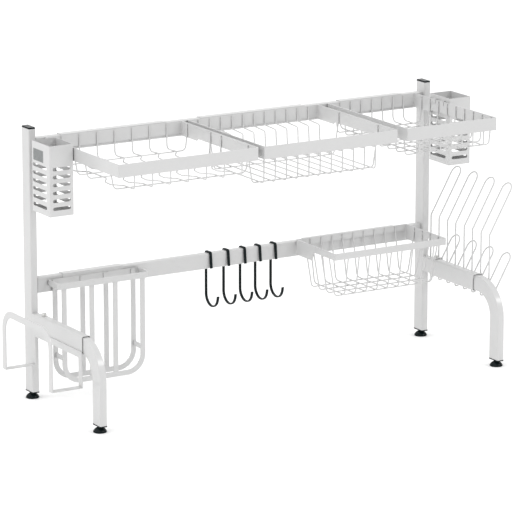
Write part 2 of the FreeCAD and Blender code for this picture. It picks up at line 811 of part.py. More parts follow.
def left_basket():
    """Basket with folded cross wires that hold bowls on edge."""
    left, right, top = upper_basket("left", LEFT_ENDS, LEFT_SADDLE)
    bends = [("rear", 50.4, 9.0)] + LEFT_FOLDS + [("front", 49.0, 6.0)]
    cross_wires("left_basket_cross_wires", size(-373.9), 37.3, 7, dim("basket_front"), top, bends)
    body = new_body("left_basket_long_wires")
    for distance, depth in LEFT_LONG_WIRES:
        long_wire(body, left, right, forward(distance), top, UPPER_SHOULDER, under(depth), 9.0, 7.0, 10.0)


def middle_basket():
    """Deep basket with shouldered ends."""
    left, right, top = upper_basket("middle", MIDDLE_ENDS, MIDDLE_SADDLE)
    bends = [("rear", 27.0, 5.0), (52.0, MIDDLE_STEP, 5.0), (55.0, MIDDLE_DEPTH, 7.0),
             (250.0, MIDDLE_DEPTH, 7.0), (251.0, MIDDLE_STEP, 5.0), ("front", 27.0, 5.0)]
    cross_wires("middle_basket_cross_wires", size(-80.5), 24.4, 11, dim("basket_front"), top, bends)
    body = new_body("middle_basket_long_wires")
    for distance in (88.0, 225.5):
        long_wire(body, left, right, forward(distance), top, UPPER_SHOULDER, under(MIDDLE_DEPTH),
                  13.0, 13.0, 7.0)


def right_basket():
    """Shallow basket with a fine floor."""
    left, right, top = upper_basket("right", RIGHT_ENDS, RIGHT_SADDLE)
    bends = [("rear", RIGHT_DEPTH, 12.0), ("front", RIGHT_DEPTH, 6.0)]
    cross_wires("right_basket_cross_wires", size(236.3), 24.4, 7, dim("basket_front"), top, bends)
    body = new_body("right_basket_long_wires")
    wire = long_wire(body, left, right, forward(37.0), top, UPPER_SHOULDER, under(RIGHT_DEPTH), 6.5, 6.5, 7.0)
    repeat(body, wire, "Y", 29.7, 9, towards_front=True)


def lower_basket():
    """Small tapered basket on the lower rail."""
    left, right = size(LOWER_ENDS[0]), size(LOWER_ENDS[1])
    top = dim("lower_top")
    front = dim("lower_front")
    basket_frame("lower_basket_frame", left, right, front, top, size(LOWER_STRIP), size(LOWER_EAR))
    middle = (left + right) / 2
    saddle("lower_basket_saddle", middle, size(LOWER_SADDLE), dim("lower_rail_z"), top - LOWER_STRIP)
    bends = [("rear", LOWER_SHOULDER, 6.0), (26.0, LOWER_DEPTH, 10.0), (136.0, LOWER_DEPTH, 10.0),
             ("front", LOWER_SHOULDER, 6.0)]
    cross_wires("lower_basket_cross_wires", size(170.0), 24.6, 9, front, top, bends)
    body = new_body("lower_basket_long_wires")
    wire = long_wire(body, left, right, forward(41.0), top, LOWER_SHOULDER, under(LOWER_DEPTH),
                     16.5, 16.5, 8.0)
    repeat(body, wire, "Y", 28.0, 4, towards_front=True)


# ---------------------------------------------------------------- utensil boxes

def utensil_box(label, side, basket_face, back):
    """Slotted sheet box that hooks over the side strip of a basket."""
    body = new_body(label)
    sheet_thick = dim("box_sheet")
    wide, deep, tall, top = dim("box_wide"), dim("box_deep"), dim("box_tall"), dim("box_top")
    inner_face = basket_face + side * dim("box_gap")
    x = inner_face + side * wide / 2
    y = forward(back) - deep / 2
    corner = size(BOX_CORNER)
    pad(body, "XY", top - tall / 2, centred(x, y, wide, deep), tall, corner)
    inside = centred(x, y, wide - 2 * sheet_thick, deep - 2 * sheet_thick)
    pocket(body, "XY", top + sheet_thick, inside, 2 * tall, corner - sheet_thick)
    first_slot = top - tall + FIRST_SLOT
    end_radius = dim("slot_tall") / 2 - 0.05
    across = centred(x, first_slot, size(SLOT_ACROSS), dim("slot_tall"))
    slots = pocket(body, "XZ", y, across, deep + 2 * CUT_LAP, end_radius)
    repeat(body, slots, "Z", dim("slot_pitch"), SLOT_ROWS)
    along = centred(y + SLOT_SHIFT, first_slot, size(SLOT_ALONG), dim("slot_tall"))
    slots = pocket(body, "YZ", x, along, wide + 2 * CUT_LAP, end_radius)
    repeat(body, slots, "Z", dim("slot_pitch"), SLOT_ROWS)
    under_tab = dim("upper_top") + dim("rest_gap")
    lip = basket_face - side * (dim("strip") + dim("rest_gap"))
    over_tab = under_tab + sheet_thick
    for offset in (-BOX_TAB_OFFSET, BOX_TAB_OFFSET):
        ends = (lip - side * sheet_thick, inner_face + side * sheet_thick / 2)
        left, right = ends if side > 0 else ends[::-1]
        pad(body, "XZ", y + offset, rectangle(left, right, under_tab, over_tab), BOX_TAB)
        left, right = (ends[0], lip) if side > 0 else (lip, ends[0])
        pad(body, "XZ", y + offset, rectangle(left, right, under_tab - BOX_TAB_DROP, over_tab), BOX_TAB)


# ---------------------------------------------------------------- hooks

def hook(number, x):
    """S-hook that rides on the lower rail."""
    body = new_body(f"hook_{number}")
    half = dim("hook_thick") / 2
    reach = dim("tube_narrow") / 2 + dim("rest_gap") + half
    crown = dim("tube_wide") / 2 + dim("rest_gap") + half
    drop = dim("lower_rail_z") - HOOK_LOW
    toe = reach - HOOK_SWEEP * dim("hook_bend")
    corners = [(-reach - HOOK_FLARE, -HOOK_TIP), (-reach, crown), (reach, crown), (reach, -drop),
               (toe, -drop), (toe - HOOK_TOE_OUT, HOOK_TOE_RISE - drop)]
    bend = dim("hook_bend") - 0.05
    radii = [0, HOOK_CROWN, HOOK_CROWN, bend, bend, 0]
    spine, profile = wire_sketches(body, "YZ", 0, corners, radii)
    lean = math.degrees(math.atan(HOOK_FLARE / (HOOK_TIP + crown.value)))
    profile.AttachmentOffset = FreeCAD.Placement(
        profile.AttachmentOffset.Base, FreeCAD.Rotation(FreeCAD.Vector(1, 0, 0), -lean))
    section = centred(size(0), size(0), dim("hook_wide"), dim("hook_thick"))
    draw(profile, section, size(HOOK_ROUNDING))
    sweep(body, profile, spine)
    place(body, x, forward(0), dim("lower_rail_z"))


# ---------------------------------------------------------------- cutting-board holder

def board_ring():
    body = new_body("board_holder_ring")
    middle = dim("board_x")
    half = dim("board_ring")
    strip = dim("strip")
    tall = size(BOARD_STRIP_TALL)
    outer = rectangle(middle - half, middle + half, forward(dim("board_front")), forward(dim("basket_back")))
    sketch = new_sketch(body, "XY", dim("board_top") - tall / 2)
    front, rear = size(BOARD_FRONT_CORNER), size(BOARD_REAR_CORNER)
    draw(sketch, outer, [front, front, rear, rear])
    (left, low), (right, high) = outer[0], outer[2]
    inner = rectangle(left + strip, right - strip, low + strip, high - strip)
    draw(sketch, inner, [front - strip, front - strip, rear - strip, rear - strip])
    extrude(body, "Pad", sketch, tall)


def board_panel_y(which):
    """Middle plane of the rear or front flat frame of the holder."""
    step = dim("strip") + dim("weld_gap") + dim("board_thick") / 2
    if which == "rear":
        return forward(dim("basket_back") + step)
    return forward(dim("board_front") - step)


def board_u(which):
    """Flat bar bent into a U that hangs from the ring."""
    body = new_body(f"board_holder_{which}_u")
    middle = dim("board_x")
    bar = dim("board_bar")
    outer = dim("board_leg") + bar / 2
    inner = outer - bar
    top = dim("board_top") - BOARD_TOP_INSET
    low = dim("board_bottom")
    corners = [(middle - outer, top), (middle - outer, low), (middle + outer, low), (middle + outer, top),
               (middle + inner, top), (middle + inner, low + bar), (middle - inner, low + bar),
               (middle - inner, top)]
    round_in = BOARD_BEND - bar
    radii = [0, BOARD_BEND, BOARD_BEND, 0, 0, round_in, round_in, 0]
    pad(body, "XZ", board_panel_y(which), corners, dim("board_thick"), radii)


def board_bars():
    """Two upright bars in the middle of each U."""
    body = new_body("board_holder_bars")
    low = dim("board_bottom") + dim("board_bar") + dim("weld_gap")
    top = dim("board_top") - BOARD_TOP_INSET
    half = dim("board_bar") / 2
    for which in ("rear", "front"):
        for side in (-1, 1):
            x = dim("board_x") + side * dim("board_mid")
            outline = rectangle(x - half, x + half, low, top)
            pad(body, "XZ", board_panel_y(which), outline, dim("board_thick"))


def board_ties():
    """Short strips between the rear and the front U."""
    body = new_body("board_holder_ties")
    half_thick = dim("board_thick") / 2 + dim("weld_gap")
    rear = board_panel_y("rear") - half_thick
    front = board_panel_y("front") + half_thick
    for side in (-1, 1):
        x = dim("board_x") + side * dim("board_leg")
        pad(body, "YZ", x, rectangle(front, rear, size(BOARD_TIE_LOW), size(BOARD_TIE_HIGH)), dim("strip"))


# ---------------------------------------------------------------- tray holder

def tray_screw_places():
    return [forward(distance) for distance in TRAY_SCREWS]


def tray_frame(label, x, top, corner):
    """Flat bar bent into an upside-down U."""
    body = new_body(label)
    bar = dim("tray_bar")
    back, front = forward(dim("tray_back")), forward(dim("tray_front"))
    low = dim("tray_bottom")
    corners = [(front, low), (front + bar, low), (front + bar, top - bar), (back - bar, top - bar),
               (back - bar, low), (back, low), (back, top), (front, top)]
    inner = max(corner - bar.value, 2.0)
    pad(body, "YZ", x, corners, dim("strip"), [0, 0, inner, inner, 0, 0, corner, corner])
    return body


def tray_inner_x():
    """Middle plane of the tray holder's inner frame, against the sleeve."""
    gap = dim("sleeve_gap") + dim("sleeve_wall") + dim("weld_gap")
    return -(dim("post_x") + dim("tube_narrow") / 2 + gap + dim("strip") / 2)


def tray_inner():
    """Inner frame, with two tabs folded under the sleeve."""
    body = tray_frame("tray_holder_inner", tray_inner_x(), size(TRAY_INNER_TOP), TRAY_INNER_BEND)
    strip = dim("strip")
    tab_top = sleeve_low() - dim("weld_gap")
    left = tray_inner_x() - strip / 2
    for y in tray_screw_places():
        outline = rectangle(left, -dim("post_x") + TRAY_TAB / 2, tab_top - strip, tab_top)
        pad(body, "XZ", y, outline, TRAY_TAB)
        hole = TRAY_SCREW_RADIUS + HOLE_CLEAR
        bore(body, "XY", tab_top, (-dim("post_x"), y), hole, 2 * strip + CUT_LAP)


def tray_straps():
    """Cross straps that carry the tray."""
    body = new_body("tray_holder_straps")
    strip = dim("strip")
    left = -dim("tray_reach") + strip / 2 + dim("weld_gap")
    right = tray_inner_x() - strip / 2 - dim("weld_gap")
    low = dim("tray_bottom")
    bar = dim("tray_bar")
    for y in (forward(dim("tray_back")) - bar / 2, forward(dim("tray_front")) + bar / 2):
        pad(body, "XZ", y, rectangle(left, right, low, low + strip), bar)


def tray_screws():
    body = new_body("tray_holder_screws")
    seat = sleeve_low() - dim("weld_gap") - dim("strip") - SEAT_GAP
    tip = sleeve_low() + dim("sleeve_wall") + TRAY_SCREW_TIP
    for y in tray_screw_places():
        centre = (-dim("post_x"), y)
        rod(body, "XY", seat - TRAY_SCREW_HEAD_TALL / 2, centre, TRAY_SCREW_HEAD, size(TRAY_SCREW_HEAD_TALL))
        rod(body, "XY", (seat + tip) / 2 - FUSE_LAP, centre, TRAY_SCREW_RADIUS, tip - seat + 2 * FUSE_LAP)


# ---------------------------------------------------------------- plate rack

def rack_loop_path():
    """Bends of half a plate loop, from its high tip round to its low tip: X, Y, Z and bend radius."""
    half = sheet.rack_half
    sleeve_face = sheet.post_x + sheet.tube_narrow / 2 + sheet.sleeve_gap + sheet.sleeve_wall
    inner = sleeve_face + RACK_CLEAR + sheet.rack_radius
    apex = sheet.rack_apex
    lean = math.tan(math.radians(LOOP_LEAN))
    elbow = LOOP_TIP - (apex - inner) * lean
    toe = apex - (LOOP_LOW_TIP - LOOP_LOW) / lean
    return [
        ((apex, 0, LOOP_TIP), 0), ((apex, half, LOOP_TIP), half), ((inner, half, elbow), LOOP_ELBOW_BEND),
        ((inner, half, LOOP_LOW), LOOP_FOOT_BEND), ((toe, half, LOOP_LOW), LOOP_FOOT_BEND),
        ((apex, half, LOOP_LOW_TIP), half), ((apex, 0, LOOP_LOW_TIP), 0),
    ]


def bent_path(bends):
    """Edges of straight runs and tangent arcs through points in space."""
    points = [FreeCAD.Vector(*point) for point, _ in bends]
    edges = []
    last = points[0]
    for before, corner, after, (_, radius) in zip(points, points[1:], points[2:], bends[1:]):
        back = (before - corner).normalize()
        ahead = (after - corner).normalize()
        half_angle = back.getAngle(ahead) / 2
        trim = radius / math.tan(half_angle)
        centre = corner + (back + ahead).normalize() * (radius / math.sin(half_angle))
        enter, leave = corner + back * trim, corner + ahead * trim
        middle = centre + (corner - centre).normalize() * radius
        if (enter - last).Length > 1e-6:
            edges.append(Part.makeLine(last, enter))
        edges.append(Part.Arc(enter, middle, leave).toShape())
        last = leave
    if (points[-1] - last).Length > 1e-6:
        edges.append(Part.makeLine(last, points[-1]))
    return Part.Wire(edges)


def rack_rings():
    """Four loops of wire that hold plates on edge, each bent in three planes."""
    bends = rack_loop_path()
    start = FreeCAD.Vector(*bends[0][0])
    across = FreeCAD.Vector(0, 1, 0)
    profile = Part.Wire([Part.makeCircle(sheet.rack_radius, start, across)])
    half = bent_path(bends).makePipeShell([profile], True, False)
    loop = half.fuse(half.mirror(FreeCAD.Vector(0, 0, 0), across)).removeSplitter()
    loops = []
    for number in range(LOOPS):
        distance = sheet.rack_first + number * sheet.rack_pitch
        copy = loop.copy()
        copy.translate(FreeCAD.Vector(0, sheet.post_back - distance, 0))
        loops.extend(copy.Solids)
    item = doc.addObject("Part::Feature", "plate_rack_rings")
    item.Label = "plate_rack_rings"
    item.Shape = Part.makeCompound(loops)


def rack_wire_x():
    """X of the plate loops' upright legs, just outside the right sleeve."""
    sleeve_face = dim("post_x") + dim("tube_narrow") / 2 + dim("sleeve_gap") + dim("sleeve_wall")
    return sleeve_face + RACK_CLEAR + dim("rack_radius")


def rack_carrier():
    """Straight rod that ties the plate loops together."""
    body = new_body("plate_rack_carrier")
    x = rack_wire_x() + 2 * dim("rack_radius") + dim("weld_gap")
    back = forward(dim("rack_first") - dim("rack_half") - CARRIER_END)
    last = dim("rack_first") + (LOOPS - 1) * dim("rack_pitch")
    front = forward(last + dim("rack_half") + CARRIER_END)
    centre = (x, dim("arm_z") - CARRIER_DROP)
    rod(body, "XZ", (back + front) / 2, centre, dim("rack_radius"), back - front)


def rack_hooks():
    """Wire hooks that hang the plate rack over the sleeve, and over the leg tube just in front of it."""
    body = new_body("plate_rack_hooks")
    radius = dim("rack_radius")
    outer = rack_wire_x()
    inner = dim("post_x") - (outer - dim("post_x"))
    leg_top = dim("arm_z") + dim("tube_wide") / 2
    for distance, seat in ((RACK_REAR_HOOK, sleeve_top()), (RACK_FRONT_HOOK, leg_top)):
        crown = seat + dim("rest_gap") + radius
        corners = [(outer, dim("arm_z") - RACK_HOOK_LAP), (outer, crown), (inner, crown),
                   (inner, seat - RACK_HOOK_LAP)]
        bent_wire(body, "XZ", forward(distance), corners, [0, RACK_HOOK_BEND, RACK_HOOK_BEND, 0], radius)


# ---------------------------------------------------------------- assembly

def build_frame():
    for name, side in (("left", -1), ("right", 1)):
        post(f"{name}_post", side)
        arm_stub(f"{name}_arm_stub", side)
        leg(f"{name}_leg", side)
        leg_plug(f"{name}_leg_plug", side)
        lock_knob(f"{name}_lock_knob", side)
        foot(f"{name}_rear_foot", side, 0)
        foot(f"{name}_front_foot", side, dim("leg_front"))
    post_caps()
    post_plugs()
    rail("upper_rail", dim("upper_rail_z"))
    rail("lower_rail", dim("lower_rail_z"))
    rail_stubs()
    rail_screws()
    left_sleeve()
    sleeve("right_sleeve", 1, *RIGHT_SLEEVE)
    sleeve_bushes("left_sleeve_bushes", -1, *LEFT_SLEEVE)
    sleeve_bushes("right_sleeve_bushes", 1, *RIGHT_SLEEVE)


def build_hangers():
    left_basket()
    middle_basket()
    right_basket()
    lower_basket()
    utensil_box("left_utensil_box", -1, size(LEFT_ENDS[0]), LEFT_BOX_BACK)
    utensil_box("right_utensil_box", 1, size(RIGHT_ENDS[1]), RIGHT_BOX_BACK)
    for number, x in enumerate(HOOK_PLACES, start=1):
        hook(number, x)
    board_ring()
    board_u("rear")
    board_u("front")
    board_bars()
    board_ties()
    saddle("board_holder_saddle", dim("board_x"), size(BOARD_SADDLE), dim("lower_rail_z"),
           size(BOARD_SADDLE_LOW))
    tray_frame("tray_holder_outer", -dim("tray_reach"), size(TRAY_OUTER_TOP), TRAY_OUTER_BEND)
    tray_inner()
    tray_straps()
    tray_screws()
    rack_rings()
    rack_carrier()
    rack_hooks()


def export_parts():
    """Check every object and write one STEP file for each sub-part."""
    for item in doc.Objects:
        if any(state in ("Invalid", "Error") for state in item.State):
            raise RuntimeError(f"{item.Label} did not compute: {item.State}")
    os.makedirs("parts", exist_ok=True)
    kept = [item for item in doc.Objects if item.TypeId in ("PartDesign::Body", "Part::Feature")]
    for item in kept:
        if item.Shape.isNull() or not item.Shape.isValid() or not item.Shape.Solids:
            raise RuntimeError(f"{item.Label} has no sound solid")
        item.Shape.exportStep(f"parts/{item.Label}.step")
        box = item.Shape.BoundBox
        print(f"{item.Label:28s} solids {len(item.Shape.Solids):2d}  volume {item.Shape.Volume:10.1f}  "
              f"x {box.XMin:8.2f} {box.XMax:8.2f}  y {box.YMin:8.2f} {box.YMax:8.2f}  "
              f"z {box.ZMin:7.2f} {box.ZMax:7.2f}")


build_frame()
build_hangers()
doc.recompute()
export_parts()
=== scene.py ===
"""Looks of the dish drying rack: materials, small details, floor, light and camera.

The CAD nodes carry the shapes.  Small details that the CAD leaves out ride on the CAD bodies.
Lengths are in metres and angles in degrees, unless a name says otherwise.
"""

import json
import math

import bmesh
import bpy
from mathutils import Matrix, Vector


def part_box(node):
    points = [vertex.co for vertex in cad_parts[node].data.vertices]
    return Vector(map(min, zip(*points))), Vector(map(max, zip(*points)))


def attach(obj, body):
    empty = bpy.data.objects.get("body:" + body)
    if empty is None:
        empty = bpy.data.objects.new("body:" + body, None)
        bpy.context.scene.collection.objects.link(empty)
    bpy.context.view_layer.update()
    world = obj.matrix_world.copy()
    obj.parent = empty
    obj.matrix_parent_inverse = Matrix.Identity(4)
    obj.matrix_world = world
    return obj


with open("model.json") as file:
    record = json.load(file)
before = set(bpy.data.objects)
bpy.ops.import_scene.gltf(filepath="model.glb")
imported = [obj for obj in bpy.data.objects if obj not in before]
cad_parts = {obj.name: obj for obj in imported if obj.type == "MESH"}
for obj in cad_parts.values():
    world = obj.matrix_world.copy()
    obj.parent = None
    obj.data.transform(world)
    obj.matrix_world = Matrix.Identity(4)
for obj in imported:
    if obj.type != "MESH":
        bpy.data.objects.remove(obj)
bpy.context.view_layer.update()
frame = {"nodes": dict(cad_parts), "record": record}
NODES = frame["nodes"]


# ---------------------------------------------------------------- materials

# The colour sockets of the Mix node, which has sockets of the same name for every data type.
MIX_FIRST = 6
MIX_SECOND = 7
MIX_RESULT = 2

OCCLUSION_SAMPLES = 8
BEVEL_SAMPLES = 4
FLAT_DOT = 0.98
EDGE_DOT = 0.75


class Shader:
    """Small helper that adds and links the nodes of one material."""

    def __init__(self, name):
        self.material = bpy.data.materials.new(name)
        self.material.use_nodes = True
        self.tree = self.material.node_tree
        self.surface = self.tree.nodes["Principled BSDF"]
        self.position = self.add("ShaderNodeTexCoord").outputs["Object"]

    def add(self, kind, **settings):
        """A new node with the given settings."""
        node = self.tree.nodes.new(kind)
        for key, value in settings.items():
            setattr(node, key, value)
        return node

    def link(self, output, target):
        """Join an output to an input."""
        self.tree.links.new(output, target)

    def finish(self, colour, roughness, normal):
        """Feed the surface its colour, roughness and normal."""
        self.link(colour, self.surface.inputs["Base Color"])
        self.link(roughness, self.surface.inputs["Roughness"])
        self.link(normal, self.surface.inputs["Normal"])

    def noise(self, scale, detail=2.0, roughness=0.5, stretch=(1.0, 1.0, 1.0)):
        """Noise with the given number of features per metre."""
        mapping = self.add("ShaderNodeMapping")
        mapping.inputs["Scale"].default_value = stretch
        self.link(self.position, mapping.inputs["Vector"])
        noise = self.add("ShaderNodeTexNoise")
        noise.inputs["Scale"].default_value = scale
        noise.inputs["Detail"].default_value = detail
        noise.inputs["Roughness"].default_value = roughness
        self.link(mapping.outputs["Vector"], noise.inputs["Vector"])
        return noise.outputs["Fac"]

    def span(self, value, low, high, start=0.3, end=0.7):
        """Stretch a value between start and end to the range low to high."""
        mapped = self.add("ShaderNodeMapRange")
        mapped.inputs["From Min"].default_value = start
        mapped.inputs["From Max"].default_value = end
        mapped.inputs["To Min"].default_value = low
        mapped.inputs["To Max"].default_value = high
        self.link(value, mapped.inputs["Value"])
        return mapped.outputs["Result"]

    def product(self, first, second):
        """The first value times the second."""
        node = self.add("ShaderNodeMath", operation="MULTIPLY")
        self.link(first, node.inputs[0])
        self.link(second, node.inputs[1])
        return node.outputs[0]

    def mix(self, factor, first, second):
        """Mix two colours; either may be a colour or an output."""
        node = self.add("ShaderNodeMix", data_type="RGBA")
        self.link(factor, node.inputs["Factor"])
        for number, colour in ((MIX_FIRST, first), (MIX_SECOND, second)):
            if isinstance(colour, tuple):
                node.inputs[number].default_value = colour
            else:
                self.link(colour, node.inputs[number])
        return node.outputs[MIX_RESULT]

    def bump(self, height, strength, distance, under=None):
        """Normal of a bumpy face, over another normal where one is given."""
        node = self.add("ShaderNodeBump")
        node.inputs["Strength"].default_value = strength
        node.inputs["Distance"].default_value = distance
        self.link(height, node.inputs["Height"])
        if under is not None:
            self.link(under, node.inputs["Normal"])
        return node.outputs["Normal"]

    def openness(self, reach, dark, light):
        """0 where the surroundings close in within the reach, 1 on open faces."""
        occlusion = self.add("ShaderNodeAmbientOcclusion", samples=OCCLUSION_SAMPLES)
        occlusion.inputs["Distance"].default_value = reach
        return self.span(occlusion.outputs["AO"], 0.0, 1.0, dark, light)

    def edges(self, width):
        """1 along edges within about the given width, 0 on flat faces."""
        bevel = self.add("ShaderNodeBevel", samples=BEVEL_SAMPLES)
        bevel.inputs["Radius"].default_value = width
        geometry = self.add("ShaderNodeNewGeometry")
        dot = self.add("ShaderNodeVectorMath", operation="DOT_PRODUCT")
        self.link(bevel.outputs["Normal"], dot.inputs[0])
        self.link(geometry.outputs["Normal"], dot.inputs[1])
        return self.span(dot.outputs["Value"], 1.0, 0.0, EDGE_DOT, FLAT_DOT)


def white_coat():
    """Glossy white powder coat: orange peel, faint shade changes, thin edges, painted shade in the hollows
    and crevices.
    """
    darker = (0.530, 0.530, 0.530, 1)
    lighter = (0.553, 0.553, 0.551, 1)
    thin_coat = (0.43, 0.43, 0.425, 1)
    shadow = (0.25, 0.25, 0.25, 1)
    crevice_shade = (0.15, 0.15, 0.15, 1)
    shader = Shader("white_powder_coat")
    cloud = shader.span(shader.noise(scale=6.0, detail=3.0), low=0.0, high=1.0)
    base = shader.mix(cloud, darker, lighter)
    patches = shader.noise(scale=90.0, detail=4.0, roughness=0.6)
    worn = shader.product(shader.edges(width=0.0007),
                          shader.span(patches, low=0.0, high=0.5, start=0.42, end=0.62))
    coat = shader.mix(worn, base, thin_coat)
    # Painted shade: towards a grey where other parts close in within 55 mm.
    shaded = shader.mix(shader.openness(reach=0.055, dark=0.04, light=0.50), shadow, coat)
    # Painted shade: close to black in narrow crevices and along contacts, within 8 mm.
    crevice_shaded = shader.mix(shader.openness(reach=0.008, dark=0.0, light=0.28), crevice_shade, shaded)
    gloss = shader.span(shader.noise(scale=55.0, detail=4.0), low=0.36, high=0.48)
    peel = shader.bump(shader.noise(scale=520.0, detail=2.0), strength=0.10, distance=0.0004)
    grain = shader.bump(shader.noise(scale=2600.0, detail=1.0), strength=0.05, distance=0.0001, under=peel)
    shader.finish(crevice_shaded, gloss, grain)
    shader.surface.inputs["Specular IOR Level"].default_value = 0.45
    shader.surface.inputs["Coat Weight"].default_value = 0.60
    shader.surface.inputs["Coat Roughness"].default_value = 0.15
    return shader.material


def black_plastic():
    """Moulded black plastic with a fine grain, a few dull patches and rubbed edges."""
    darker = (0.004, 0.008, 0.009, 1)
    lighter = (0.007, 0.011, 0.012, 1)
    rubbed = (0.016, 0.021, 0.023, 1)
    shader = Shader("black_moulded_plastic")
    cloud = shader.span(shader.noise(scale=40.0, detail=3.0), low=0.0, high=1.0)
    colour = shader.mix(shader.edges(width=0.0005), shader.mix(cloud, darker, lighter), rubbed)
    gloss = shader.span(shader.noise(scale=160.0, detail=4.0), low=0.09, high=0.15)
    grain = shader.bump(shader.noise(scale=2200.0, detail=2.0), strength=0.06, distance=0.0002)
    shader.finish(colour, gloss, grain)
    shader.surface.inputs["Specular IOR Level"].default_value = 0.10
    return shader.material


def black_coat():
    """Smooth black coat on the bent wire of the hooks."""
    darker = (0.003, 0.007, 0.008, 1)
    lighter = (0.006, 0.010, 0.011, 1)
    shader = Shader("black_wire_coat")
    cloud = shader.span(shader.noise(scale=70.0, detail=3.0), low=0.0, high=1.0)
    gloss = shader.span(shader.noise(scale=240.0, detail=3.0), low=0.28, high=0.42)
    waves = shader.bump(shader.noise(scale=900.0, detail=2.0), strength=0.12, distance=0.0002)
    shader.finish(shader.mix(cloud, darker, lighter), gloss, waves)
    shader.surface.inputs["Specular IOR Level"].default_value = 0.12
    return shader.material


def zinc():
    """Bright zinc plate with a turned grain."""
    darker = (0.50, 0.50, 0.49, 1)
    lighter = (0.64, 0.64, 0.62, 1)
    shader = Shader("zinc_plate")
    cloud = shader.span(shader.noise(scale=260.0, detail=3.0), low=0.0, high=1.0)
    rings = shader.noise(scale=900.0, detail=3.0, stretch=(1.0, 1.0, 8.0))
    gloss = shader.span(rings, low=0.24, high=0.42)
    fine_rings = shader.noise(scale=1500.0, detail=2.0, stretch=(1.0, 1.0, 10.0))
    grooves = shader.bump(fine_rings, strength=0.15, distance=0.0001)
    shader.finish(shader.mix(cloud, darker, lighter), gloss, grooves)
    shader.surface.inputs["Metallic"].default_value = 1.0
    return shader.material


def blank_sticker():
    """Matt grey film of an unprinted sticker."""
    darker = (0.16, 0.17, 0.17, 1)
    lighter = (0.20, 0.21, 0.21, 1)
    shader = Shader("blank_sticker_film")
    cloud = shader.span(shader.noise(scale=300.0, detail=3.0), low=0.0, high=1.0)
    gloss = shader.span(shader.noise(scale=500.0, detail=3.0), low=0.35, high=0.5)
    grain = shader.bump(shader.noise(scale=1800.0, detail=2.0), strength=0.08, distance=0.0001)
    shader.finish(shader.mix(cloud, darker, lighter), gloss, grain)
    return shader.material


MATERIALS = {
    "white_coat": white_coat(),
    "black_plastic": black_plastic(),
    "black_coat": black_coat(),
    "zinc": zinc(),
}

# Edges sharper than these stay sharp, on the CAD nodes and on the small details.
CAD_SHARP_ANGLE = 32
DETAIL_SHARP_ANGLE = 40


def dress_frame():
    """Give every CAD node the material of its slot and smooth its rounded faces."""
    slots = {entry["node"]: entry["material_slot"] for entry in frame["record"]["subparts"]}
    for name, node in NODES.items():
        mesh = node.data
        mesh.materials.clear()
        mesh.materials.append(MATERIALS[slots[name]])
        mesh.shade_smooth()
        mesh.set_sharp_from_angle(angle=math.radians(CAD_SHARP_ANGLE))


# ---------------------------------------------------------------- small details

def new_piece(name, mesh_maker, material, body):
    """A mesh piece with the given material, which rides on a CAD body."""
    mesh = bpy.data.meshes.new(name)
    bm = bmesh.new()
    mesh_maker(bm)
    bm.normal_update()
    bm.to_mesh(mesh)
    bm.free()
    mesh.materials.append(material)
    mesh.shade_smooth()
    mesh.set_sharp_from_angle(angle=math.radians(DETAIL_SHARP_ANGLE))
    piece = bpy.data.objects.new(name, mesh)
    bpy.context.scene.collection.objects.link(piece)
    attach(piece, body)


# The sticker on the box's -X face: how far its outer and inner faces stand off the box, then its
# low and high corners in Y and Z, and the radius of its corners.
STICKER_OUTER = 0.00012
STICKER_INNER = 0.00002
STICKER_LOW = (0.0398, 0.4712)
STICKER_HIGH = (0.0783, 0.4930)
STICKER_CORNER = 0.001
CORNER_STEPS = 4


def plate(low, high, corner):
    """Maker of a thin rectangular plate on a YZ face, with rounded corners."""
    def make(bm):
        (x0, y0, z0), (x1, y1, z1) = low, high
        outline = []
        for cy, cz, start in ((y1 - corner, z1 - corner, 0), (y0 + corner, z1 - corner, 90),
                              (y0 + corner, z0 + corner, 180), (y1 - corner, z0 + corner, 270)):
            for step in range(CORNER_STEPS + 1):
                angle = math.radians(start + step * 90 / CORNER_STEPS)
                outline.append((cy + corner * math.cos(angle), cz + corner * math.sin(angle)))
        near = [bm.verts.new((x0, y, z)) for y, z in outline]
        far = [bm.verts.new((x1, y, z)) for y, z in outline]
        bm.faces.new(near)
        bm.faces.new(far[::-1])
        count = len(outline)
        for i in range(count):
            after = (i + 1) % count
            bm.faces.new((near[i], far[i], far[after], near[after]))
        bmesh.ops.recalc_face_normals(bm, faces=bm.faces)
    return make


def stickers():
    """Blank sticker on the outer face of the left utensil box."""
    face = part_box("left_utensil_box")[0][0]
    shape = plate((face - STICKER_OUTER, *STICKER_LOW), (face - STICKER_INNER, *STICKER_HIGH), STICKER_CORNER)
    new_piece("utensil_box_sticker", shape, blank_sticker(), "left_utensil_box_body")


BASKETS = ("left", "middle", "right", "lower")
WIRE_RADIUS = 0.0013

# Half the size of a bead along the strip, off the strip and upwards, and its depth below the wire's tip.
WELD_SIZE = (0.0021, 0.0009, 0.0028)
WELD_BELOW_TIP = 0.0055
WELD_SUBDIVISIONS = 2

# A loaded mesh has several vertices at each corner: those this close together count as one.
MERGE_DISTANCE = 0.00001

# Vertices this little below a wire's highest one belong to its ends.
TIP_BAND = 0.0003


def separate_solids(mesh):
    """Vertex positions of each connected part of a mesh."""
    joined = bmesh.new()
    joined.from_mesh(mesh)
    bmesh.ops.remove_doubles(joined, verts=joined.verts, dist=MERGE_DISTANCE)
    seen = set()
    solids = []
    for first in joined.verts:
        if first in seen:
            continue
        seen.add(first)
        waiting = [first]
        points = []
        while waiting:
            vertex = waiting.pop()
            points.append(vertex.co.copy())
            for edge in vertex.link_edges:
                other = edge.other_vert(vertex)
                if other not in seen:
                    seen.add(other)
                    waiting.append(other)
        solids.append(points)
    joined.free()
    return solids


def wire_ends(points, axis):
    """Centres of the two upper ends of a bent wire that spans the given axis, with the way outwards."""
    highest = max(point.z for point in points)
    tips = [point for point in points if point.z > highest - TIP_BAND]
    middle = (min(point[axis] for point in points) + max(point[axis] for point in points)) / 2
    for outwards in (-1, 1):
        end = [point for point in tips if (point[axis] - middle) * outwards > 0]
        yield sum(end, Vector()) / len(end), outwards


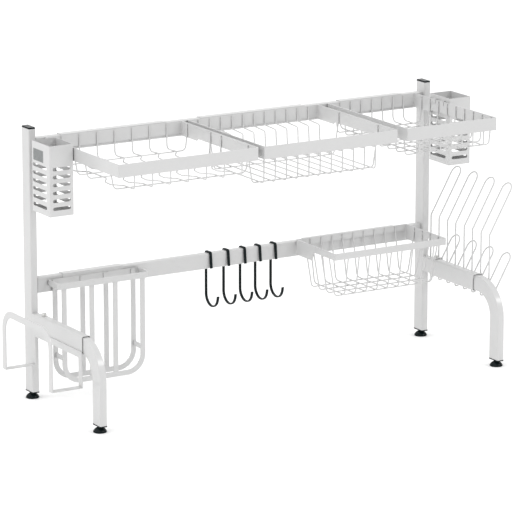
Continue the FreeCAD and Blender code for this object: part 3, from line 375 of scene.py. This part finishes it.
def weld_beads(basket):
    """Maker of the flat beads that hold the wires of a basket to the inside of its strip."""
    along, off, upwards = WELD_SIZE

    def make(bm):
        for kind, axis, size in (("cross_wires", 1, (along, off, upwards)),
                                 ("long_wires", 0, (off, along, upwards))):
            for points in separate_solids(NODES[f"{basket}_basket_{kind}"].data):
                for centre, outwards in wire_ends(points, axis):
                    centre[axis] += outwards * WIRE_RADIUS
                    centre.z -= WELD_BELOW_TIP
                    shape = Matrix.Translation(centre) @ Matrix.Diagonal((*size, 1.0))
                    bmesh.ops.create_icosphere(bm, subdivisions=WELD_SUBDIVISIONS, radius=1.0, matrix=shape)
    return make


def welds():
    """Weld beads of every basket."""
    for basket in BASKETS:
        new_piece(f"{basket}_basket_welds", weld_beads(basket), MATERIALS["white_coat"],
                  f"{basket}_basket_body")


# ---------------------------------------------------------------- stage

FLOOR_HALF = 12.0
FLOOR_DARKER = (0.96, 0.96, 0.96, 1)
FLOOR_LIGHTER = (0.975, 0.975, 0.975, 1)
FLOOR_ROUGHNESS = 0.9
WORLD_STRENGTH = 1.0

# Each light: its name, the direction it comes from, its strength and the width of the lit sky.
SUNS = (
    ("overhead", (-0.62, 0.0, 1.0), 0.95, 80.0),
    ("sparkle", (0.50, -0.62, 0.60), 0.42, 14.0),
)

CAMERA_PLACE = (-3.3930, -5.6041, 1.8548)
CAMERA_AZIMUTH = -30.99
CAMERA_ELEVATION = 13.81
CAMERA_LENS_MM = 249.3
CAMERA_SENSOR_MM = 36.0
CAMERA_REACH = 100.0


def pale_floor():
    """Large flat floor under the rack."""
    mesh = bpy.data.meshes.new("floor")
    corners = [(-FLOOR_HALF, -FLOOR_HALF, 0), (FLOOR_HALF, -FLOOR_HALF, 0),
               (FLOOR_HALF, FLOOR_HALF, 0), (-FLOOR_HALF, FLOOR_HALF, 0)]
    mesh.from_pydata(corners, [], [(0, 1, 2, 3)])
    floor = bpy.data.objects.new("floor", mesh)
    bpy.context.scene.collection.objects.link(floor)
    shader = Shader("pale_floor")
    shade = shader.mix(shader.noise(scale=3.0), FLOOR_DARKER, FLOOR_LIGHTER)
    shader.link(shade, shader.surface.inputs["Base Color"])
    shader.surface.inputs["Roughness"].default_value = FLOOR_ROUGHNESS
    mesh.materials.append(shader.material)


def add_sun(name, towards, strength, softness):
    """Even light from one direction; the softness is the width of the lit sky in degrees."""
    data = bpy.data.lights.new(name, "SUN")
    data.energy = strength
    data.angle = math.radians(softness)
    lamp = bpy.data.objects.new(name, data)
    lamp.rotation_euler = Vector(towards).to_track_quat("Z", "Y").to_euler()
    bpy.context.scene.collection.objects.link(lamp)


def studio_light():
    """White light from all round, and two suns."""
    scene = bpy.context.scene
    world = bpy.data.worlds.new("studio")
    scene.world = world
    world.use_nodes = True
    background = world.node_tree.nodes["Background"]
    background.inputs["Color"].default_value = (1, 1, 1, 1)
    background.inputs["Strength"].default_value = WORLD_STRENGTH
    for sun in SUNS:
        add_sun(*sun)
    scene.view_settings.view_transform = "Standard"
    scene.view_settings.look = "None"


def camera():
    """Long lens to the left front, a little above the rack."""
    azimuth = math.radians(CAMERA_AZIMUTH)
    elevation = math.radians(CAMERA_ELEVATION)
    back = Vector((math.sin(azimuth) * math.cos(elevation), -math.cos(azimuth) * math.cos(elevation),
                   math.sin(elevation)))
    data = bpy.data.cameras.new("camera")
    data.lens = CAMERA_LENS_MM
    data.sensor_width = CAMERA_SENSOR_MM
    data.clip_end = CAMERA_REACH
    eye = bpy.data.objects.new("camera", data)
    eye.location = CAMERA_PLACE
    eye.rotation_euler = (-back).to_track_quat("-Z", "Y").to_euler()
    bpy.context.scene.collection.objects.link(eye)
    bpy.context.scene.camera = eye


dress_frame()
stickers()
welds()
pale_floor()
studio_light()
camera()
